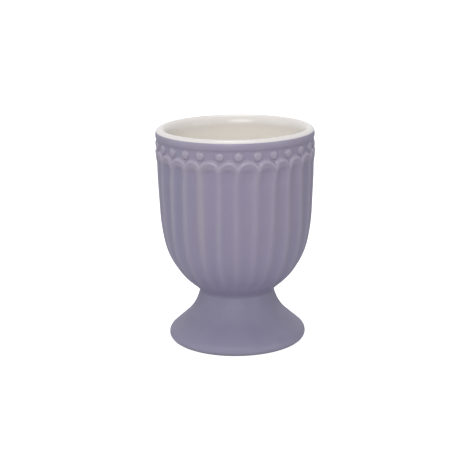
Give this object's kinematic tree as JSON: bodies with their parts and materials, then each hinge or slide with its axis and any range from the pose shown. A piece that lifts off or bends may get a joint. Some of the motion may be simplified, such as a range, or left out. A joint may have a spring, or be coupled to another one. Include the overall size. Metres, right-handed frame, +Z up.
{
  "type": "egg cup",
  "caption": "Pedestal egg cup in lavender and white glazed stoneware: fluted bowl with beads and small arches under a rounded white lip, on a hollow flared foot.",
  "frame": {"origin": "centre of the resting ring, on the surface the cup stands on", "axes": "+Z up along the cup's axis of symmetry, -Y towards the front of the picture, +X to its right"},
  "size_m": [0.0475, 0.0475, 0.065],
  "materials": {
    "coloured_glaze": "soft gloss lavender glaze over stoneware",
    "relief_glaze": "the same glaze, thinner and paler over raised ornament",
    "foot_glaze": "thin lavender glaze inside the hollow foot",
    "white_glaze": "glossy warm white glaze",
    "joint_slip": "slip joint under pooled lavender glaze"
  },
  "bodies": {
    "root": {"foot": "coloured_glaze", "foot_lining": "foot_glaze", "luting_slip": "joint_slip", "bowl": "coloured_glaze", "bowl_lining": "white_glaze", "rim_band": "coloured_glaze", "scallop_border": "relief_glaze", "beads": "relief_glaze"}
  },
  "joints": []
}
